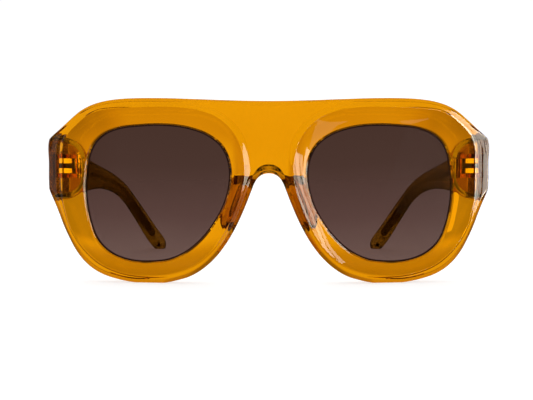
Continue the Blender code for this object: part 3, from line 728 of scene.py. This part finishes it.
def make_wire():
    rows = spline(WIRE[:2], dense=8)[:-1].tolist() + spline(WIRE[1:3], dense=8)[:-1].tolist() + spline(WIRE[2:], dense=8).tolist()
    rows = np.array(rows)
    pitch = np.gradient(rows[:, 1], rows[:, 0])
    stations = [(d, temple_x(d), z, temple_yaw(d), p, section(w, h, 0.5, 4)) for (d, z, h, w), p in zip(rows, pitch)]
    d, z, h, w = rows[-1]
    for turn in (0.5, 0.85, 0.98):
        s = math.sqrt(1 - turn**2)
        stations.append((d + 0.5 * turn, temple_x(d), z + pitch[-1] * 0.5 * turn, temple_yaw(d), pitch[-1], section(w * s, h * s, 0.5, 4)))
    return made("core_wire_metal_right", *capped_faces(swept(stations)), WIRE_METAL, 50)


arm_r, wire_r = make_temple(), make_wire()
arm_l, wire_l = twin(arm_r, "temple_acetate_left"), twin(wire_r, "core_wire_metal_left")
for arm, wire, side in ((arm_r, wire_r, "right"), (arm_l, wire_l, "left")):
    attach(arm, side + "_arm")
    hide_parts("temple_" + side)
    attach(wire, side + "_arm")
    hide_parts("core_wire_" + side)


# ------------------------------------------------------------------ hinges
def joined(name, shapes, mat, bevel=0.0001):
    """One solid from overlapping shapes: exact unions, then a small bevel on its edges."""
    objs = [made(name + "_%d" % i, p, f, mat) for i, (p, f) in enumerate(shapes)]
    base = objs[0]
    for other in objs[1:]:
        step = base.modifiers.new("join", "BOOLEAN")
        step.operation, step.object, step.solver = "UNION", other, "EXACT"
    bpy.context.view_layer.update()
    mesh = bpy.data.meshes.new_from_object(base.evaluated_get(bpy.context.evaluated_depsgraph_get()))
    base.modifiers.clear()
    base.data = mesh
    for other in objs[1:]:
        bpy.data.objects.remove(other, do_unlink=True)
    base.name = mesh.name = name
    edge = base.modifiers.new("edges", "BEVEL")
    edge.width, edge.segments, edge.limit_method, edge.angle_limit = bevel, 2, "ANGLE", math.radians(50)
    edge.use_clamp_overlap = True
    bpy.context.view_layer.update()
    mesh = bpy.data.meshes.new_from_object(base.evaluated_get(bpy.context.evaluated_depsgraph_get()))
    base.modifiers.clear()
    base.data = mesh
    work = bmesh.new()
    work.from_mesh(mesh)
    for e in work.edges:
        e.smooth = len(e.link_faces) != 2 or e.calc_face_angle(0) < math.radians(20)
    for f in work.faces:
        f.smooth = True
    work.to_mesh(mesh)
    work.free()
    return base


def box(x0, x1, y0, y1, z0, z1):
    points = [(x, y, z) for x in (x0, x1) for y in (y0, y1) for z in (z0, z1)]
    return points, [(0, 1, 3, 2), (4, 6, 7, 5), (0, 4, 5, 1), (2, 3, 7, 6), (0, 2, 6, 4), (1, 5, 7, 3)]


def tube(x, y, inner, outer, z0, z1, count=48):
    """A knuckle: a ring with a bore through it."""
    points = []
    for z in (z0, z1):
        for r in (inner, outer):
            points += [(x + r * math.cos(2 * math.pi * i / count), y + r * math.sin(2 * math.pi * i / count), z) for i in range(count)]
    faces = []
    for i in range(count):
        j = (i + 1) % count
        faces += [
            (i, count + i, count + j, j), (2 * count + i, 2 * count + j, 3 * count + j, 3 * count + i),
            (i, j, 2 * count + j, 2 * count + i), (count + i, 3 * count + i, 3 * count + j, count + j),
        ]
    return points, faces


def turned(x, y, profile, count=40):
    """A solid of revolution about the hinge axis from (radius, z) pairs, bottom to top."""
    points, faces = [], []
    for r, z in profile:
        points += [(x + r * math.cos(2 * math.pi * i / count), y + r * math.sin(2 * math.pi * i / count), z) for i in range(count)]
    faces = strip_faces(len(profile), count)
    faces.append(tuple(range(count))[::-1])
    faces.append(tuple(range((len(profile) - 1) * count, len(profile) * count)))
    return points, faces


px, py = PIVOT
z_lo, z_hi = KNUCKLE_Z, KNUCKLE_Z + 4 * KNUCKLE_PITCH + KNUCKLE_H


def knuckle(i):
    return KNUCKLE_Z + i * KNUCKLE_PITCH, KNUCKLE_Z + i * KNUCKLE_PITCH + KNUCKLE_H


shapes = [box(px - 0.75, PRONG_X[1], 17.9, 19.1, knuckle(1)[0] - 0.15, knuckle(3)[1] + 0.15)]
for i in (1, 3):
    lo, hi = knuckle(i)
    shapes.append(box(px - 0.72, px + 0.72, 18.5, py - 1.0, lo, hi))
    shapes.append(tube(px, py, BORE_R, KNUCKLE_R, lo, hi))
    shapes.append(box(*PRONG_X, PRONG_D, 18.5, lo - 0.1, hi + 0.1))
    for y in (15.1, 16.2, 17.2):
        shapes.append(box(PRONG_X[0] - 0.6, PRONG_X[0] + 0.4, y, y + 0.55, lo - 0.05, hi + 0.05))
leaf_r = joined("hinge_prongs_right", shapes, GOLD)
leaf_r.data.materials.append(GOLD_DARK_ROUGH)
for f in leaf_r.data.polygons:                # the web between the prongs is painted dark gold: painted shade between the prongs
    if f.normal.y < -0.3 and knuckle(1)[1] + 0.1 < f.center.z / MM < knuckle(3)[0] - 0.1:
        f.material_index = 1

shapes = [box(PLATE[0], PLATE[1], 20.9, PLATE[2], z_lo, z_hi)]
for i in (0, 2, 4):
    lo, hi = knuckle(i)
    shapes.append(box(px + 1.0, PLATE[0] + 0.6, py + 0.05, py + 1.65, lo, hi))
    shapes.append(tube(px, py, BORE_R, KNUCKLE_R, lo, hi))
plate_r = joined("hinge_plate_right", shapes, GOLD_LEAF)
plate_r.data.materials.append(GOLD_DARK_ROUGH)
for f in plate_r.data.polygons:               # the plate's front end, inside the temple, gets the dark, rough gold too
    if f.normal.y < -0.3 and f.center.x / MM > PLATE[0] - 0.2:
        f.material_index = 1

head = z_hi + 0.2
pin_r = made("hinge_pin_right", *turned(px, py, [
    (0.45, z_lo - 0.1), (0.6, z_lo), (SCREW_R, z_lo + 0.1), (SCREW_R, head), (1.1, head), (1.22, head + 0.08),
    (1.25, head + 0.2), (1.2, head + 0.42), (1.05, head + 0.53), (0.75, head + 0.6), (0.3, head + 0.62),
]), SCREW, 35)
slot_cut = made("slot_cut", *box(px - 2, px + 2, py - 0.18, py + 0.18, head + 0.33, head + 2), SCREW)
cut = pin_r.modifiers.new("slot", "BOOLEAN")
cut.operation, cut.object, cut.solver = "DIFFERENCE", slot_cut, "EXACT"
bpy.context.view_layer.update()
cut_mesh = bpy.data.meshes.new_from_object(pin_r.evaluated_get(bpy.context.evaluated_depsgraph_get()))
pin_r.modifiers.clear()
pin_r.data = cut_mesh
bpy.data.objects.remove(slot_cut, do_unlink=True)

for right, left_name, node, body, slot in (
    (leaf_r, "hinge_prongs_left", "hinge_front_leaf_", "front", "hinge_brass"),
    (plate_r, "hinge_plate_left", "hinge_temple_leaf_", "arm", "hinge_leaf_brass"),
    (pin_r, "hinge_pin_left", "hinge_screw_", "front", "screw_steel"),
):
    left = twin(right, left_name)
    for obj, side in ((right, "right"), (left, "left")):
        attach(obj, "front" if body == "front" else side + "_arm")
        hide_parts(node + side)


# ------------------------------------------------------------------ stage
def calc(tree, kind, a, b=0.0):
    node = add(tree, "ShaderNodeMath")
    node.operation = kind
    for i, value in enumerate((a, b)):
        if isinstance(value, (int, float)):
            node.inputs[i].default_value = value
        else:
            tree.links.new(value, node.inputs[i])
    return node.outputs["Value"]


def eased_range(tree, value, start, stop, low, high):
    node = add(tree, "ShaderNodeMapRange")
    node.interpolation_type = "SMOOTHSTEP"
    for key, number in (("From Min", start), ("From Max", stop), ("To Min", low), ("To Max", high)):
        node.inputs[key].default_value = number
    tree.links.new(value, node.inputs["Value"])
    return node.outputs["Result"]


def coordinates(tree, kind):
    where = add(tree, "ShaderNodeTexCoord")
    split = add(tree, "ShaderNodeSeparateXYZ")
    tree.links.new(where.outputs[kind], split.inputs["Vector"])
    return (split.outputs[i] for i in range(3))


def sideways(tree, wide):
    """How much dimmer the light from behind is away from the middle, by the sine of its angle; less so far out."""
    loss = eased_range(tree, wide, 0.15, 0.26, 0.0, 0.26)
    loss = calc(tree, "ADD", loss, eased_range(tree, wide, 0.28, 0.42, 0.0, 0.24))
    return calc(tree, "ADD", loss, eased_range(tree, wide, 0.55, 0.68, 0.0, -0.30))


WARM = [(0.0, (1, 1, 1)), (0.3, (1.0, 0.86, 0.7))]


def floor():
    """A plain pale floor with a glow of its own, so that contact shadows stay light."""
    mesh = bpy.data.meshes.new("floor")
    mesh.from_pydata([(-4, -4, 0), (4, -4, 0), (4, 6, 0), (-4, 6, 0)], [], [(0, 1, 2, 3)])
    obj = bpy.data.objects.new("floor", mesh)
    scene.collection.objects.link(obj)
    m, tree, shader = new_material("pale_floor")
    shader.inputs["Roughness"].default_value = 0.9
    shader.inputs["Specular IOR Level"].default_value = 0.1
    tone = ramp(tree, noise(tree, 3, 2), [(0.3, (0.49, 0.49, 0.49)), (0.7, (0.51, 0.51, 0.51))])
    tree.links.new(tone, shader.inputs["Base Color"])
    x, y, z = coordinates(tree, "Object")
    # painted shade: the glow is a little dimmer and warmer by the foot of the object, and out to either side of it,
    # only for rays that come through the plastic
    back = calc(tree, "MAXIMUM", calc(tree, "ADD", y, 0.065), 0.01)
    side = calc(tree, "DIVIDE", calc(tree, "SUBTRACT", calc(tree, "ABSOLUTE", x), 0.062), back)
    sides = calc(tree, "MULTIPLY", eased_range(tree, side, 0.22, 0.33, 0.0, 0.46), eased_range(tree, y, -0.03, 0.03, 0.0, 1.0))
    loss = calc(tree, "ADD", eased_range(tree, y, -0.045, -0.005, 0.32, 0.0), sides)
    seen = add(tree, "ShaderNodeLightPath")
    loss = calc(tree, "MULTIPLY", loss, seen.outputs["Is Transmission Ray"])
    tree.links.new(ramp(tree, loss, WARM), shader.inputs["Emission Color"])
    tree.links.new(calc(tree, "SUBTRACT", 0.72, loss), shader.inputs["Emission Strength"])
    mesh.materials.append(m)
    obj.visible_glossy = False


floor()

world = bpy.data.worlds.new("studio")
scene.world = world
world.use_nodes = True
tree = world.node_tree
to_x, to_y, to_z = coordinates(tree, "Generated")
# brightest straight behind, falling off to the sides, a ceiling, and less light from the camera's side
behind = calc(tree, "SUBTRACT", 1.16, sideways(tree, calc(tree, "ABSOLUTE", to_x)))
behind = calc(tree, "SUBTRACT", behind, eased_range(tree, to_z, 0.08, 0.22, 0.0, 0.20))
light = calc(tree, "MULTIPLY", behind, eased_range(tree, to_y, -0.6, 0.45, 0.22, 1.0))
light = calc(tree, "ADD", light, eased_range(tree, to_z, 0.5, 0.9, 0.0, 0.9))
seen = add(tree, "ShaderNodeLightPath")
bounced = calc(tree, "MULTIPLY", seen.outputs["Is Glossy Ray"], seen.outputs["Is Reflection Ray"])
bounced = calc(tree, "MULTIPLY", bounced, calc(tree, "MAXIMUM", eased_range(tree, to_y, -0.1, 0.5, 0.9, 0.985), eased_range(tree, to_z, 0.3, 0.8, 0.0, 0.985)))
light = calc(tree, "MULTIPLY", light, calc(tree, "SUBTRACT", 1.0, bounced))
light = calc(tree, "MAXIMUM", light, calc(tree, "MULTIPLY", seen.outputs["Is Camera Ray"], 1.02))
tree.links.new(light, tree.nodes["Background"].inputs["Strength"])
shade = calc(tree, "MULTIPLY", calc(tree, "SUBTRACT", 1.16, behind), seen.outputs["Is Transmission Ray"])
tree.links.new(ramp(tree, shade, WARM), tree.nodes["Background"].inputs["Color"])

# light runs a long way inside clear plastic before it comes out
scene.cycles.max_bounces, scene.cycles.glossy_bounces, scene.cycles.transmission_bounces = 40, 32, 32


def softbox(name, place, target, size, glow, glossy=True, through=True, roll=0.0):
    data = bpy.data.lights.new(name, "AREA")
    data.shape, data.size, data.size_y = "RECTANGLE", size[0], size[1]
    data.energy = glow * math.pi * size[0] * size[1]
    obj = bpy.data.objects.new(name, data)
    obj.location = place
    aim = (Vector(target) - Vector(place)).to_track_quat("-Z", "Y")
    obj.rotation_euler = (aim @ Quaternion((0, 0, 1), math.radians(roll))).to_euler()
    scene.collection.objects.link(obj)
    obj.visible_diffuse = False
    obj.visible_camera = False
    obj.visible_glossy, obj.visible_transmission = glossy, through
    return obj


# a tall light at the right, in upright strips of uneven brightness, and a dim one at the left
for name, turn, wide, glow in (
    ("right_strip_a", 63.5, 0.060, 5.0), ("right_strip_b", 70.5, 0.080, 7.0), ("right_strip_c", 76.5, 0.050, 3.5),
    ("right_strip_d", 82.5, 0.070, 7.5), ("right_strip_e", 91.0, 0.120, 5.0),
    ("right_strip_f", 100.5, 0.110, 13.0),
):
    turn = math.radians(turn)
    softbox(name, (0.70 * math.sin(turn), -0.07 - 0.70 * math.cos(turn), 0.27), (0, -0.07, 0.27), (wide, 0.70), glow, through=False)
softbox("left_box", (-0.74, -0.083, 0.06), (0, -0.07, 0.06), (0.13, 0.50), 0.40, through=False)
softbox("side_box", (0.53, -0.60, 0.05), (0, -0.0745, 0.04), (0.42, 0.32), 7.0, through=False, roll=-25)
softbox("side_box_low", (0.44, -0.56, -0.24), (0, -0.0745, 0.04), (0.20, 0.34), 0.9, through=False)
softbox("front_box", (0, -0.8, 0.05), (0, 0, 0.035), (1.1, 0.16), 1.9, glossy=False)
softbox("back_card", (0.0975, 0.05, 0.021), (0.064, -0.06, 0.021), (0.0215, 0.042), 0.65, glossy=False)

camera = bpy.data.cameras.new("camera")
camera.sensor_fit, camera.sensor_width = "HORIZONTAL", 36.0
camera.lens = 928.0 / 533.0 * 36.0
camera.clip_start, camera.clip_end = 0.01, 50
eye = bpy.data.objects.new("camera", camera)
eye.location = (-0.00074, -0.300 - BOX_SHIFT * MM, 0.03558)
eye.rotation_euler = (math.radians(90 - 1.568), 0, 0)
scene.collection.objects.link(eye)
scene.camera = eye

scene.view_settings.view_transform = "Standard"
scene.view_settings.look = "None"
